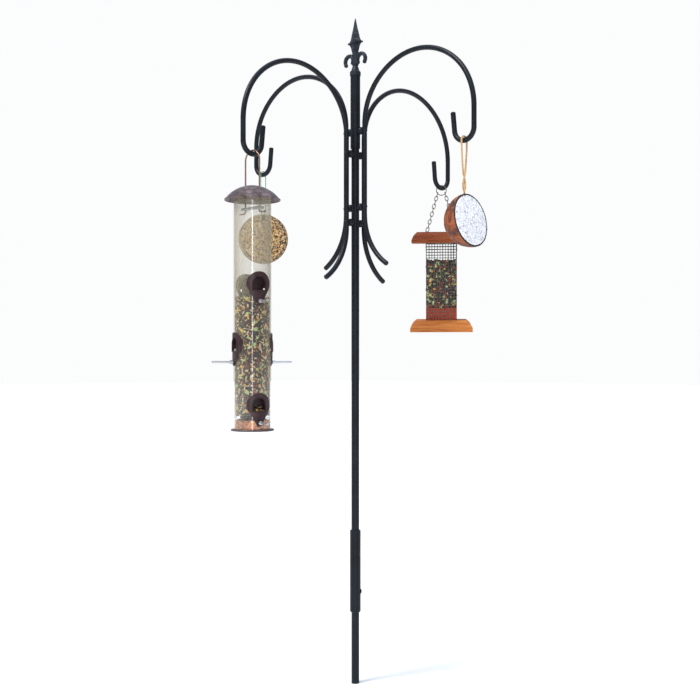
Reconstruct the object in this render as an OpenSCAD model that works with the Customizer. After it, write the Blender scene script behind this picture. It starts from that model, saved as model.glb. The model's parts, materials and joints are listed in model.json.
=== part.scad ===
// Bird feeding station. A sectional tube pole on a ground spike carries a cast finial and
// four bent-rod hook arms, through-bolted in two crossing pairs. From the hooks hang a tube
// seed feeder (-Y arm), a round seed cake (-X arm), half a coconut of suet (+X arm) and a
// mesh nut feeder (+Y arm). The origin is on the pole's axis at ground level, +Z is up.

/* [Pole] */
// Outside diameter of the pole sections
pole_d = 16; // [13:0.5:20]
// Wall of the pole sections
pole_wall = 1.2; // [0.8:0.1:2]
// Height of the joint between the lower section and the mast
joint_z = 230; // [190:1:420]
// Length of the sleeve over the joint
sleeve_l = 168; // [120:1:210]
// Wall of the sleeve
sleeve_wall = 3; // [2.4:0.1:4]
// Height of the clamp screw above the sleeve's lower end
screw_h = 42; // [20:1:60]
// Length of the head tube at the top of the mast
head_l = 148; // [115:1:200]
// Wall of the head tube
head_wall = 2; // [1.5:0.1:3]
// How far the head tube reaches below the higher arms' top bolt
head_lap = 34.5; // [20:0.5:38]
// Diameter of the spike below ground
spike_d = 14; // [11:0.5:16]
// Length of the spike's straight part below ground
spike_l = 200; // [150:1:300]
// Length of the spike's point
spike_tip = 40; // [25:1:60]

/* [Finial] */
// Height of the finial above the head tube
finial_h = 119; // [95:1:150]
// Width over the finial's two petals
finial_w = 64; // [54:1:76]
// Thickness of the spear blade
blade_t = 12; // [9:0.5:15]

/* [Arms] */
// Diameter of the arm rod
arm_d = 10; // [8:0.5:12]
// Clear gap between the pole and an arm's upright
arm_gap = 13; // [10:0.5:17]
// Height of the lower end of the higher arms' uprights
arm_z = 960; // [850:1:1150]
// Length of an arm's upright
arm_upright = 182; // [150:1:220]
// How much lower the second pair of arms sits
pair_drop = 28; // [20:1:34]
// Radius of the arch next to the upright
arch_in_r = 120; // [100:1:144]
// Radius over the top of the arch
arch_top_r = 145; // [120:1:175]
// Radius of the arch next to the hook
arch_out_r = 128; // [106:1:154]
// Straight drop from the arch to the hook
hook_drop = 39; // [30:1:50]
// Radius of the hook's bend
hook_r = 23; // [19:0.5:28]
// Angle through which the hook turns
hook_turn = 174; // [160:1:180]
// Straight lip at the end of the hook
hook_lip = 35; // [28:1:44]
// Radius of the flare at the arm's lower end
flare_r = 122; // [100:1:147]
// Angle through which the flare turns
flare_turn = 58; // [45:1:70]
// Diameter of the ball spacers between the pole and the arms
ball_d = 15.5; // [13:0.5:18]
// Diameter of the bolts through the arms
bolt_d = 5; // [4:0.5:6]

/* [Tube feeder] */
// Outside diameter of the clear tube
tube_d = 70; // [60:1:84]
// Wall of the clear tube
tube_wall = 2; // [1.5:0.1:3]
// Length of the clear tube
tube_l = 442; // [400:1:530]
// Diameter of the domed cap
cap_d = 104; // [96:1:125]
// Height of the domed cap
cap_h = 27; // [24:1:32]
// Height of the hook rod above the cap's crown
bail_rise = 59; // [50:1:75]
// Distance between the two legs of the bail
bail_w = 39; // [32:1:46]
// Diameter of the bail wire
bail_d = 3; // [2.5:0.1:3.6]
// Height of the lowest pair of ports
port_z = 36.5; // [33:0.5:46]
// Vertical distance from one pair of ports to the next
port_pitch = 112; // [94:1:126]
// Radius of a port's rounded head
port_r = 22.4; // [20:0.2:26]
// Height of a port's plate
port_h = 62; // [56:1:72]
// Height of the bottom of a port's opening above the port's centre
sill_h = -3; // [-4:0.5:1]
// Radius of the arch of a port's opening
mouth_r = 12.5; // [11:0.5:14]
// Diameter of the perch rods
perch_d = 4; // [3:0.5:5]
// Reach of a perch beyond the tube
perch_reach = 44; // [36:1:53]
// Diameter of the base plate
base_d = 81.5; // [76:0.5:98]
// Height of the seed in the tube
tube_fill_h = 245; // [200:1:290]

/* [Seed cake] */
// Diameter of the seed cake
cake_d = 111; // [92:1:133]
// Thickness of the seed cake
cake_t = 30; // [25:1:36]
// Height of the hook rod above the cake's centre
cake_drop = 143; // [120:1:170]

/* [Coconut] */
// Outside diameter of the coconut shell
coco_d = 103; // [86:1:124]
// Wall of the coconut shell
coco_wall = 4; // [3:0.5:5]
// Upward tilt of the coconut's open face
coco_tilt = 9; // [5:1:14]

/* [Nut feeder] */
// Side of the square mesh cage
cage_w = 68; // [60:1:80]
// Height of the mesh cage
cage_h = 170; // [147:1:204]
// Width of the base board
board_w = 137; // [118:1:164]
// Thickness of the base board
board_t = 25; // [22:1:30]
// Width of the roof board
roof_w = 131; // [120:1:157]
// Thickness of the roof board
roof_t = 24; // [20:1:28]
// Depth of both boards, from front to back
board_depth = 104; // [92:1:125]
// Forward lean with which the feeder hangs
nut_lean = 5; // [0:1:6]
// Height of the wooden block inside the foot of the cage
block_h = 28; // [23:1:34]
// Wire diameter of the chain
link_wire = 1.8; // [1.5:0.1:2]
// Number of links in each leg of the chain, which has to be even
link_n = 12; // [10:2:14]

/* [Hidden] */
$fn = 96;
slide_gap = 0.1;      // radial clearance of a sliding or turning fit
seat_gap = 0.05;      // clearance between pieces that are fastened together
free_gap = 0.3;       // clearance between pieces that move past each other
bolt_gap = 0.1;       // radial clearance of a bolt or wire in its hole
slim_part = 0.984;    // diameter of a rod's slim steps, as a part of the rod's own
steel = [0.13, 0.14, 0.16];
bright = [0.75, 0.76, 0.78];
brown = [0.27, 0.17, 0.16];
timber = [0.74, 0.42, 0.22];

head_d = pole_d + 2 * head_wall;
sleeve_d = pole_d + 2 * sleeve_wall;
sleeve_z = joint_z - sleeve_l / 2;
arm_x = pole_d / 2 + arm_gap + arm_d / 2;
arm_low = [arm_z, arm_z - pair_drop];                 // foot of the upright, by pair
bolt_low = [14.5, 11];                                // low bolt above the upright's foot
bolt_high = [12, 31];                                 // high bolt below the upright's top
bolt_zs = [for (p = [0, 1]) [arm_low[p] + bolt_low[p], arm_low[p] + arm_upright - bolt_high[p]]];
head_z = bolt_zs[0][1] - head_lap;
head_top = head_z + head_l;
hook_x = arm_x + (1 - cos(45)) * (arch_in_r + arch_out_r) + 2 * cos(45) * arch_top_r - hook_r;
rod_z = [for (z = arm_low)
    z + arm_upright + (arch_in_r - arch_out_r) * sin(45) - hook_drop - hook_r];
bolt_head_d = arm_d * 0.8;
spot_depth = arm_d * 0.12;
spot_r = arm_x + arm_d / 2 - spot_depth;              // seat of the bolt heads
screw_az = 45;                                        // side of the sleeve with the screw

// An arm, as [length] for a straight stretch and [radius, angle] for a bend, from the flare up
flare_end = 3;
arm_path = [[flare_end], [flare_r, flare_turn], [arm_upright], [arch_in_r, 45],
            [arch_top_r, 90], [arch_out_r, 45], [hook_drop], [hook_r, hook_turn], [hook_lip]];
arm_names = ["arm_front_right", "arm_back_right", "arm_back_left", "arm_front_left"];

// Tube feeder, in its own frame: the tube stands on z = 0
feeder_yaw = -21;                                     // side that the upper ports face
tube_r = tube_d / 2;
bore_r = tube_r - tube_wall;
dome_r = (cap_d * cap_d / 4 + cap_h * cap_h) / (2 * cap_h);
cap_t = 1.2;
dome_in_r = dome_r - cap_t;
crown_z = tube_l + free_gap + dome_r - sqrt(dome_in_r * dome_in_r - tube_r * tube_r);
tube_rod_z = crown_z + bail_rise;                     // the hook's rod above the tube's foot
tube_foot_z = rod_z[1] - tube_rod_z;
bail_r = bail_w / 2;
bail_top = tube_rod_z + arm_d / 2 + free_gap + bail_d / 2;
bail_foot = tube_l - 39;
strap_t = 5;
port_t = 2.5;                                         // how far a port's plate stands proud
neck_r = mouth_r + 2;
hood_r = bore_r - 17;                                 // inner end of a port's hood
hood_t = 1.5;                                         // thickness of the hood's back
mouth_z = 9;                                          // centre of the mouth's arch
perch_z = -24;                                        // perch below a port's centre
port_zs = [for (i = [2, 1, 0]) port_z + i * port_pitch];
port_names = ["port_upper_front", "port_upper_back", "port_middle_right", "port_middle_left",
              "port_lower_front", "port_lower_back"];
perch_names = ["perch_upper", "perch_middle", "perch_lower"];
base_t = 4;
insert_h = 16;                                        // straight part of the copper insert
insert_cone = 8;

// Seed cake and coconut
view_yaw = -42;                                       // side that the cake's face is turned to
cake_z = rod_z[0] - cake_drop;
cake_hole_z = cake_d / 2 - 11;
coco_r = coco_d / 2;
coco_yaw = 1;
hole_back = 8;                                        // twine's hole behind the open face
coco_back = coco_r * sin(coco_tilt + asin(hole_back / coco_r));
coco_top = rod_z[0] - 102.3;                          // height of the hanging point
coco_z = coco_top - sqrt(coco_r * coco_r - coco_back * coco_back);
twine_hole_d = 8.8;

// Nut feeder, in its own frame: the tabs that the chain holds are on the line x, z = 0
nut_yaw = 39;
ring_r = 11;
ring_wire = 2;
ring_gap = 0.5;
ring_z = arm_d / 2 + ring_gap + ring_wire / 2 - ring_r;   // ring's centre above the rod
hold_a = 50;                                          // side of the ring where a leg hooks on
hold_x = ring_r * sin(hold_a);
hold_z = ring_z - ring_r * cos(hold_a);
link_l = 12.8;
link_w = 8;
link_in = link_l - 2 * link_wire;
link_pitch = link_in - 0.2;
tab_x = cage_w / 2 + 2.9;
leg_l = link_pitch * (link_n - 1) + link_in - 0.9 - ring_wire / 2;
leg_rise = sqrt(leg_l * leg_l - (tab_x - hold_x) * (tab_x - hold_x));
leg_a = atan2(tab_x - hold_x, leg_rise);
tab_z = rod_z[1] + hold_z - leg_rise;                 // height of the tabs' holes
tab_up = 9;                                           // tab's hole above the cage's top
lean_back = 9.2;                                      // tabs behind the cage's middle
cage_wall = 1.2;
roof_lift = 25;
slot_in = tab_x - (roof_lift + roof_t - tab_up + 1) * tan(leg_a) - link_w / 2 - 0.8;
slot_out = tab_x + link_w / 2 + 1;
slot_side = link_w / 2 + 1.3;
slot_w = 2 * slot_side + roof_lift * sin(nut_lean);
nut_fill_h = 132;

// Routes of the two cords, about the hook's rod and in order along the cord
string_d = 2.6;
twine_d = 4;
string_route = [[3, 0, -103], [7, -9, -100], [11, -14, -95], [10, -14, -86], [6, -12, -72],
                [3, -9.5, -54], [1, -8, -34], [0, -7.2, -16], [0, -6.9, -4], [0, -6.4, 3.6],
                [0, -2.4, 6.6], [0, 2.4, 6.6], [0, 6.4, 3.6], [0, 6.9, -4], [0, 7.2, -16],
                [-1, 8, -34], [-3, 9.5, -54], [-6, 12, -72], [-10, 14, -86], [-11, 14, -95],
                [-7, 9, -100], [-3, 0, -103]];
twine_route = [[0, -2.1, -112], [0, -2.1, -104], [1.4, -1.6, -97], [2.1, 0, -90],
               [1.4, 1.6, -83], [0, 2.1, -76], [-1.4, 1.6, -69], [-2.1, 0, -62],
               [-1.6, -1.9, -55], [-1, -3.6, -47], [-0.5, -5.2, -37], [-0.2, -6.7, -25],
               [0, -7.8, -12], [0, -7.8, -4], [0, -7.5, 3], [0, -5, 6.4], [0, 0, 7.9],
               [0, 5, 6.4], [0, 7.5, 3], [0, 7.8, -4], [0, 7.8, -12], [0.2, 6.7, -25],
               [0.5, 5.2, -37], [1, 3.6, -47], [1.6, 1.9, -55], [2.1, 0, -62],
               [1.4, -1.6, -69], [0, -2.1, -76], [-1.4, -1.6, -83], [-2.1, 0, -90],
               [-1.4, 1.6, -97], [0, 2.1, -104], [0, 2.1, -112]];

// ---- shared shapes ----

module tube(d, wall, h) {
    difference() {
        cylinder(d = d, h = h);
        translate([0, 0, -1]) cylinder(d = d - 2 * wall, h = h + 2);
    }
}

// Cylinder from r1 to r2 along +X, at height z
module cross_bar(d, r1, r2, z) {
    translate([r1, 0, z]) rotate([0, 90, 0]) cylinder(d = d, h = r2 - r1);
}

// Low domed head standing on z = 0, with a hexagon socket
module button_head(d, h, socket) {
    ball = (d * d / 4 + h * h) / (2 * h);
    difference() {
        intersection() {
            translate([0, 0, h - ball]) sphere(r = ball);
            cylinder(d = d + 1, h = h + 1);
        }
        translate([0, 0, h * 0.4]) cylinder(d = socket, h = h, $fn = 6);
    }
}

// Rod of straight stretches and bends: each step starts where the last one ended, along +Z,
// and bends turn towards +X. Every other step is slimmer by a hair and runs into its
// neighbours, so that the steps join into one solid; both ends are chamfered.
module rod_steps(steps, d, tip, i = 0) {
    r = steps[i][0];
    a = steps[i][1];
    last = len(steps) - 1;
    slim = i % 2 == 0 ? slim_part * d : d;
    lap = i % 2 == 0 ? 0.4 : 0;
    foot = i == 0 ? 0 : lap;
    if (i == 0) mirror([0, 0, 1]) cylinder(d1 = slim, d2 = slim - 2 * tip, h = tip);
    if (len(steps[i]) == 1) {
        translate([0, 0, -foot]) cylinder(d = slim, h = foot + r + (i == last ? 0 : lap));
        translate([0, 0, r])
            if (i == last) cylinder(d1 = slim, d2 = slim - 2 * tip, h = tip);
            else rod_steps(steps, d, tip, i + 1);
    } else {
        more = lap / r * 180 / PI;
        translate([r, 0, 0]) rotate([90, 0, 0]) rotate([0, 0, 180 - a - more])
            rotate_extrude(angle = a + 2 * more) translate([r, 0]) circle(d = slim);
        translate([r * (1 - cos(a)), 0, r * sin(a)]) rotate([0, a, 0])
            rod_steps(steps, d, tip, i + 1);
    }
}

// Unit vectors and rings for a cord swept along its route
function unit(v) = v / norm(v);
function along(route, i) = unit(route[min(i + 1, len(route) - 1)] - route[max(i - 1, 0)]);
function side(t, ref) = unit(ref - (ref * t) * t);
function frames(route, i = 0, ref = [1, 0.2, 0.1]) =
    i == len(route) ? [] :
    let (u = side(along(route, i), ref)) concat([u], frames(route, i + 1, u));

module cord(route, d, sides = 8) {
    us = frames(route);
    n = len(route);
    rings = [for (i = [0 : n - 1]) let (t = along(route, i), u = us[i], v = cross(t, u))
        for (k = [0 : sides - 1])
            route[i] + d / 2 * (cos(360 * k / sides) * u + sin(360 * k / sides) * v)];
    walls = [for (i = [0 : n - 2]) for (k = [0 : sides - 1])
        [i * sides + k, i * sides + (k + 1) % sides,
         (i + 1) * sides + (k + 1) % sides, (i + 1) * sides + k]];
    start = [for (k = [sides - 1 : -1 : 0]) k];
    end = [for (k = [0 : sides - 1]) (n - 1) * sides + k];
    polyhedron(points = rings, faces = concat([end], walls, [start]));
}

// ---- pole ----

module ground_spike() {
    color(steel) {
        translate([0, 0, -spike_l]) cylinder(d = spike_d, h = spike_l);
        translate([0, 0, -spike_l - spike_tip]) cylinder(d1 = 2, d2 = spike_d, h = spike_tip);
        cylinder(d = pole_d - 2 * pole_wall - 2 * seat_gap, h = 60);
    }
}

module lower_pole() {
    color(steel) tube(pole_d, pole_wall, joint_z - free_gap);
}

module joint_sleeve() {
    chamfer = 1.5;
    color(steel) difference() {
        translate([0, 0, sleeve_z]) {
            translate([0, 0, chamfer]) cylinder(d = sleeve_d, h = sleeve_l - 2 * chamfer);
            cylinder(d1 = sleeve_d - 2 * chamfer, d2 = sleeve_d, h = chamfer);
            translate([0, 0, sleeve_l - chamfer])
                cylinder(d1 = sleeve_d, d2 = sleeve_d - 2 * chamfer, h = chamfer);
        }
        translate([0, 0, sleeve_z - 1]) cylinder(d = pole_d + 2 * slide_gap, h = joint_z - sleeve_z + 1);
        translate([0, 0, joint_z - 1]) cylinder(d = pole_d, h = sleeve_l);
        rotate([0, 0, screw_az]) {
            cross_bar(screw_d + 2 * slide_gap, 0, sleeve_d, sleeve_z + screw_h);
            cross_bar(screw_head_d + 1, sleeve_d / 2 - 0.5, sleeve_d, sleeve_z + screw_h);
        }
    }
}

screw_d = 6;
screw_head_d = 12;
module clamp_screw() {
    seat = sleeve_d / 2 - 0.5 + free_gap;
    color(steel) rotate([0, 0, screw_az]) translate([0, 0, sleeve_z + screw_h]) {
        cross_bar(screw_d, pole_d / 2 + free_gap, seat, 0);
        translate([seat, 0, 0]) rotate([0, 90, 0]) button_head(screw_head_d, 2.6, 4);
    }
}

// Clearance holes for the arm bolts, pair by pair
module bolt_holes(d) {
    for (p = [0, 1]) for (z = bolt_zs[p]) rotate([0, 0, 90 * p]) cross_bar(d, -60, 60, z);
}

module mast_pole() {
    z = joint_z + free_gap;
    color(steel) difference() {
        translate([0, 0, z]) tube(pole_d, pole_wall, head_top - 45 - z);
        bolt_holes(bolt_d + 2 * bolt_gap);
    }
}

module head_tube() {
    color(steel) difference() {
        translate([0, 0, head_z]) tube(head_d, head_wall, head_l);
        bolt_holes(bolt_d + 2 * bolt_gap);
    }
}

// ---- finial ----

ring_h = 12;                                          // banded ring at the finial's foot
bell_h = 11;                                          // bell above the ring
collar_h = finial_h * 0.58;                           // spear's moulding above the head tube
waist_h = collar_h - 36;                              // centre of the petals' arcs
petal_r = 11.5;
petal_x = finial_w / 2 - petal_r - 4;                 // arc's centre, from the middle
petal_turn = 240;

// Slice of the spear's blade, a diamond w wide and t thick at height z above the collar
module blade(w, t, z) {
    translate([0, 0, collar_h + z]) scale([1, t / w, 1]) rotate([0, 0, 45])
        cube([w * sqrt(0.5), w * sqrt(0.5), 0.4], center = true);
}
module blade_run(slices) {
    for (i = [0 : len(slices) - 2]) hull() for (s = [slices[i], slices[i + 1]])
        blade(s[0], s[1] * blade_t, s[2]);
}

// A petal rises out of the waist, turns over the top and curls in under itself
function petal_at(t) =
    let (a = 205 - petal_turn * t) [petal_x + petal_r * cos(a), petal_r * sin(a)];
module petal() {
    n = 11;
    translate([0, 0, waist_h]) {
        for (i = [0 : n - 2]) hull() for (k = [i, i + 1]) {
            p = petal_at(k / (n - 1));
            translate([p[0], 0, p[1]]) scale([1, 1.3, 1])
                sphere(r = 4.5 - 1.1 * k / (n - 1), $fn = 14);
        }
        tip = petal_at(1);
        translate([tip[0], 0, tip[1]]) sphere(r = 4.3, $fn = 16);
    }
}

module finial() {
    foot_d = head_d + 2.4;
    neck_d = head_d - 3;
    tip_h = finial_h - collar_h;
    color(steel) translate([0, 0, head_top]) {
        translate([0, 0, -40]) cylinder(d = pole_d - 2 * seat_gap, h = 40.5, $fn = 48);
        cylinder(d = head_d + 1, h = 2, $fn = 48);
        translate([0, 0, 2]) cylinder(d = foot_d, h = ring_h - 5, $fn = 48);
        translate([0, 0, ring_h - 3]) cylinder(d1 = foot_d, d2 = neck_d, h = 3, $fn = 48);
        translate([0, 0, ring_h]) cylinder(d1 = neck_d, d2 = 10, h = bell_h, $fn = 48);
        translate([0, 0, ring_h + bell_h]) cylinder(d = 13.5, h = 2, $fn = 48);
        cylinder(d = 10, h = waist_h + 2, $fn = 32);
        for (s = [0, 1]) mirror([s, 0, 0]) petal();
        blade_run([[13.5, 0.8, -collar_h + waist_h - 8], [13.5, 0.9, -31], [16, 1, -24],
                   [20, 1.05, -16], [25, 1.05, -8], [34, 1.1, -1]]);
        hull() for (s = [-1, 1]) translate([s * 17.5, 0, collar_h])
            cube([2, 6, 3.2], center = true);
        translate([0, 0, collar_h]) cube([20, blade_t + 2, 3.2], center = true);
        blade_run([[33, 1, 1.5], [26, 0.9, 8], [19, 0.78, 20], [12, 0.6, 31],
                   [6.5, 0.4, tip_h * 0.84], [1.6, 0.14, tip_h - 0.2]]);
    }
}

// ---- arms ----

module arm(i) {
    p = i % 2;
    color(steel) rotate([0, 0, 90 * i]) difference() {
        translate([arm_x + flare_r * (1 - cos(flare_turn)), 0,
                   arm_low[p] - flare_r * sin(flare_turn)]) rotate([0, -flare_turn, 0])
            translate([0, 0, -flare_end]) rod_steps(arm_path, arm_d, 1.5);
        for (z = bolt_zs[p]) {
            cross_bar(bolt_d + 2 * bolt_gap, 0, 2 * arm_x, z);
            cross_bar(bolt_head_d + 0.6, spot_r, spot_r + arm_d, z);
        }
    }
}

// Ball spacers on bolt row k of both pairs: k = 0 is the low bolts, k = 1 the high bolts
module ball_spacers(k) {
    for (i = [0 : 3]) {
        p = i % 2;
        seat_d = (k == 1 && p == 0) ? head_d : pole_d;
        color(steel) rotate([0, 0, 90 * i]) difference() {
            translate([(seat_d / 2 + arm_x - arm_d / 2) / 2, 0, bolt_zs[p][k]]) sphere(d = ball_d);
            translate([0, 0, bolt_zs[p][k] - 20]) {
                cylinder(d = seat_d + 2 * seat_gap, h = 40);
                translate([arm_x, 0, 0]) cylinder(d = arm_d + 2 * seat_gap, h = 40);
            }
            cross_bar(bolt_d + 2 * bolt_gap, 0, arm_x, bolt_zs[p][k]);
        }
    }
}
module upper_ball_spacers() { ball_spacers(1); }
module lower_ball_spacers() { ball_spacers(0); }

module arm_bolts() {
    for (p = [0, 1]) for (z = bolt_zs[p]) color(steel) rotate([0, 0, 90 * p]) {
        cross_bar(bolt_d, -spot_r - 1, spot_r, z);
        translate([spot_r, 0, z]) rotate([0, 90, 0]) button_head(bolt_head_d, 2.2, 3);
    }
}

module arm_nuts() {
    for (p = [0, 1]) for (z = bolt_zs[p]) color(steel) rotate([0, 0, 90 * p]) difference() {
        translate([-spot_r, 0, z]) rotate([0, -90, 0]) button_head(bolt_head_d, 2.6, 0.5);
        cross_bar(bolt_d + 2 * seat_gap, -spot_r - 1 - seat_gap, 0, z);
    }
}

// ---- tube feeder ----

module at_tube() { translate([0, -hook_x, tube_foot_z]) children(); }
module at_port(i) {
    at_tube() rotate([0, 0, feeder_yaw + 180 * (i % 2) + (floor(i / 2) == 1 ? 90 : 0)])
        translate([0, 0, port_zs[floor(i / 2)]]) children();
}

// Outline extruded along +X from r1 to r2
module radial(r1, r2) {
    translate([r1, 0, 0]) rotate([90, 0, 90]) linear_extrude(r2 - r1) children();
}

module arch_2d(r) {
    translate([0, mouth_z]) circle(r = r);
    translate([-r, sill_h - (r - mouth_r)]) square([2 * r, mouth_z - sill_h + (r - mouth_r)]);
}

module port_2d() {
    top = port_h / 2 - port_r;
    a = 24;
    translate([0, top]) circle(r = port_r);
    polygon([[port_r * cos(a), top - port_r * sin(a)], [5.2, 4 - port_h / 2], [2.6, -port_h / 2],
             [-2.6, -port_h / 2], [-5.2, 4 - port_h / 2],
             [-port_r * cos(a), top - port_r * sin(a)], [0, top]]);
}

// Hood of a port inside the tube, closed at its back and open below for the seed
module throat() {
    radial(hood_r, tube_r + 1) arch_2d(neck_r);
}
module throat_space() {
    radial(hood_r + hood_t, tube_r + 10) arch_2d(mouth_r);
    radial(hood_r + hood_t, bore_r - 2) intersection() {
        arch_2d(neck_r + 1);
        translate([-neck_r - 1, sill_h - neck_r]) square([2 * neck_r + 2, neck_r + 4]);
    }
}

module port(i) {
    color(brown) at_port(i) difference() {
        union() {
            intersection() {
                radial(10, tube_r + 10) port_2d();
                translate([0, 0, -port_h]) difference() {
                    cylinder(r = tube_r + port_t, h = 2 * port_h);
                    translate([0, 0, -1]) cylinder(r = tube_r + seat_gap, h = 2 * port_h + 2);
                }
            }
            throat();
            cross_bar(9, tube_r + 1, tube_r + port_t + 1.5, perch_z);
        }
        throat_space();
        radial(tube_r + port_t - 1.1, tube_r + 10) arch_2d(mouth_r + 2.4);
        cross_bar(perch_d + 2 * bolt_gap, 0, tube_r + 10, perch_z);
    }
}

module perch(k) {
    reach = tube_r + perch_reach;
    color(bright) at_port(2 * k) cross_bar(perch_d, -reach, reach, perch_z);
}

module perch_collars() {
    for (i = [0 : 5]) color(bright) at_port(i) difference() {
        cross_bar(7, tube_r + port_t + 1.6, tube_r + port_t + 6.6, perch_z);
        cross_bar(perch_d + 2 * seat_gap, tube_r, tube_r + 20, perch_z);
    }
}

module clear_tube() {
    color([0.85, 0.8, 0.68, 0.4]) difference() {
        at_tube() tube(tube_d, tube_wall, tube_l);
        for (i = [0 : 5]) at_port(i) {
            radial(10, tube_r + 10) arch_2d(neck_r + 0.2);
            cross_bar(perch_d + 2 * bolt_gap, 10, tube_r + 10, perch_z);
        }
        at_tube() cross_bar(bail_d + 2 * bolt_gap, -tube_d, tube_d, bail_foot);
    }
}

// One leg of the bail, from its arch down to its foot in the tube's wall
module bail_leg() {
    turn = bail_d * 1.4;
    lap = 0.3;
    bend_z = bail_foot + turn;
    translate([bail_r, 0, bend_z - lap])
        cylinder(d = slim_part * bail_d, h = bail_top - bail_r - bend_z + 2 * lap);
    translate([bail_r + turn, 0, bend_z]) rotate([90, 0, 0]) rotate([0, 0, 180])
        rotate_extrude(angle = 90) translate([turn, 0]) circle(d = bail_d);
    cross_bar(slim_part * bail_d, bail_r + turn - lap, tube_r + 0.8, bail_foot);
}

module tube_bail() {
    color([0.62, 0.45, 0.32]) at_tube() {
        translate([0, 0, bail_top - bail_r]) rotate([90, 0, 0]) rotate_extrude(angle = 180)
            translate([bail_r, 0]) circle(d = bail_d);
        bail_leg();
        mirror([1, 0, 0]) bail_leg();
    }
}

module bail_strap() {
    width = 11;
    over = 6;                                         // length of the strap beyond each leg
    z = bail_foot + bail_d / 2 + bail_d * 1.4;
    color(bright) at_tube() difference() {
        translate([-bail_r - over, -width / 2, z]) cube([bail_w + 2 * over, width, strap_t]);
        for (s = [-1, 1]) translate([s * bail_r, 0, z - 1])
            cylinder(d = bail_d + 2 * bolt_gap, h = strap_t + 2);
    }
}

module tube_cap() {
    hole_d = bail_d + 2;
    color([0.5, 0.43, 0.44]) at_tube() difference() {
        union() {
            difference() {
                translate([0, 0, crown_z - dome_r]) sphere(r = dome_r);
                translate([0, 0, crown_z - dome_r]) sphere(r = dome_in_r);
                translate([0, 0, crown_z - cap_h - 2 * dome_r])
                    cylinder(r = 2 * dome_r, h = 2 * dome_r);
            }
            translate([0, 0, crown_z - cap_h - 1]) difference() {
                cylinder(d = cap_d + 0.6, h = 2.2);
                translate([0, 0, -1]) cylinder(d = cap_d - 2.6, h = 5);
            }
        }
        for (s = [-1, 1]) translate([s * bail_r, 0, crown_z - cap_h])
            cylinder(d = hole_d, h = cap_h + 5);
    }
}

module tube_base() {
    edge = base_t / 2;
    color(brown) at_tube() difference() {
        union() {
            translate([0, 0, -base_t]) cylinder(d = base_d - base_t, h = base_t);
            translate([0, 0, -edge]) rotate_extrude()
                translate([base_d / 2 - edge, 0]) circle(r = edge);
        }
        for (a = [30 : 60 : 330]) rotate([0, 0, a]) translate([bore_r * 0.72, 0, -base_t - 1])
            cylinder(d = 4, h = base_t + 2);
        for (a = [0 : 120 : 240]) rotate([0, 0, a]) translate([bore_r * 0.6, 0, -base_t - 1])
            cylinder(d = 3.4, h = base_t + 2);
    }
}

module tube_insert() {
    color([0.8, 0.48, 0.28]) difference() {
        at_tube() union() {
            cylinder(r = bore_r - 0.2, h = insert_h);
            translate([0, 0, insert_h]) cylinder(r1 = bore_r - 0.2, r2 = 9, h = insert_cone);
        }
        at_port(4) cross_bar(perch_d + 2 * bolt_gap, -tube_d, tube_d, perch_z);
        at_tube() for (a = [0 : 120 : 240]) rotate([0, 0, a]) translate([bore_r * 0.6, 0, -1])
            cylinder(d = 3 + 2 * seat_gap, h = 9);
    }
}

module base_screws() {
    for (a = [0 : 120 : 240]) color(bright) at_tube() rotate([0, 0, a])
        translate([bore_r * 0.6, 0, -base_t]) {
            cylinder(d = 3, h = base_t + 7);
            mirror([0, 0, 1]) button_head(6, 2, 2);
        }
}

module tube_seed() {
    foot = insert_h + insert_cone + 1;
    color([0.6, 0.5, 0.3]) difference() {
        at_tube() translate([0, 0, foot]) cylinder(r = bore_r - 0.3, h = tube_fill_h - foot);
        for (i = [0 : 5]) at_port(i) {
            radial(hood_r - 1, tube_r) arch_2d(neck_r + 0.3);
            cross_bar(perch_d + 0.6, -tube_r, tube_r, perch_z);
        }
    }
}

// ---- seed cake ----

module seed_cake() {
    edge = 6;
    color([0.78, 0.6, 0.34]) translate([-hook_x, 0, cake_z]) rotate([0, 0, view_yaw])
        rotate([0, 90, 0]) difference() {
            translate([0, 0, -cake_t / 2]) {
                translate([0, 0, edge]) cylinder(d = cake_d, h = cake_t - 2 * edge);
                cylinder(d1 = cake_d - 2 * edge, d2 = cake_d, h = edge);
                translate([0, 0, cake_t - edge])
                    cylinder(d1 = cake_d, d2 = cake_d - 2 * edge, h = edge);
            }
            translate([-cake_hole_z, 0, -cake_t]) cylinder(d = 13, h = 2 * cake_t);
        }
}

module cake_string() {
    color([0.25, 0.62, 0.42]) translate([-hook_x, 0, rod_z[0]]) cord(string_route, string_d);
}

// ---- coconut ----

module at_coconut() {
    translate([hook_x, 0, 0]) rotate([0, 0, coco_yaw]) translate([coco_back, 0, coco_z])
        rotate([0, 90 - coco_tilt, 0]) children();
}
module twine_hole(d) {
    translate([hook_x, 0, coco_z + coco_r * 0.3]) cylinder(d = d, h = coco_r);
}

module coconut_shell() {
    color([0.42, 0.2, 0.08]) difference() {
        at_coconut() difference() {
            sphere(r = coco_r);
            sphere(r = coco_r - coco_wall);
            cylinder(r = 2 * coco_r, h = 2 * coco_r);
        }
        twine_hole(twine_hole_d);
    }
}

module coconut_suet() {
    in_r = coco_r - coco_wall - 0.2;
    rise = 3;
    dome = (in_r * in_r + rise * rise) / (2 * rise);
    color([0.93, 0.93, 0.95]) difference() {
        at_coconut() intersection() {
            sphere(r = in_r);
            translate([0, 0, rise - dome]) sphere(r = dome);
        }
        twine_hole(twine_hole_d + 5);
    }
}

module coconut_twine() {
    color([0.76, 0.58, 0.32]) translate([hook_x, 0, rod_z[0]]) cord(twine_route, twine_d);
}

// Knot below the shell's wall, too large for the hole
module twine_knot() {
    knot_d = twine_hole_d + 3;
    color([0.76, 0.58, 0.32])
        translate([hook_x, 0, rod_z[0] + twine_route[0][2] - knot_d / 2 - seat_gap])
            sphere(d = knot_d);
}

// ---- nut feeder ----

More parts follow.
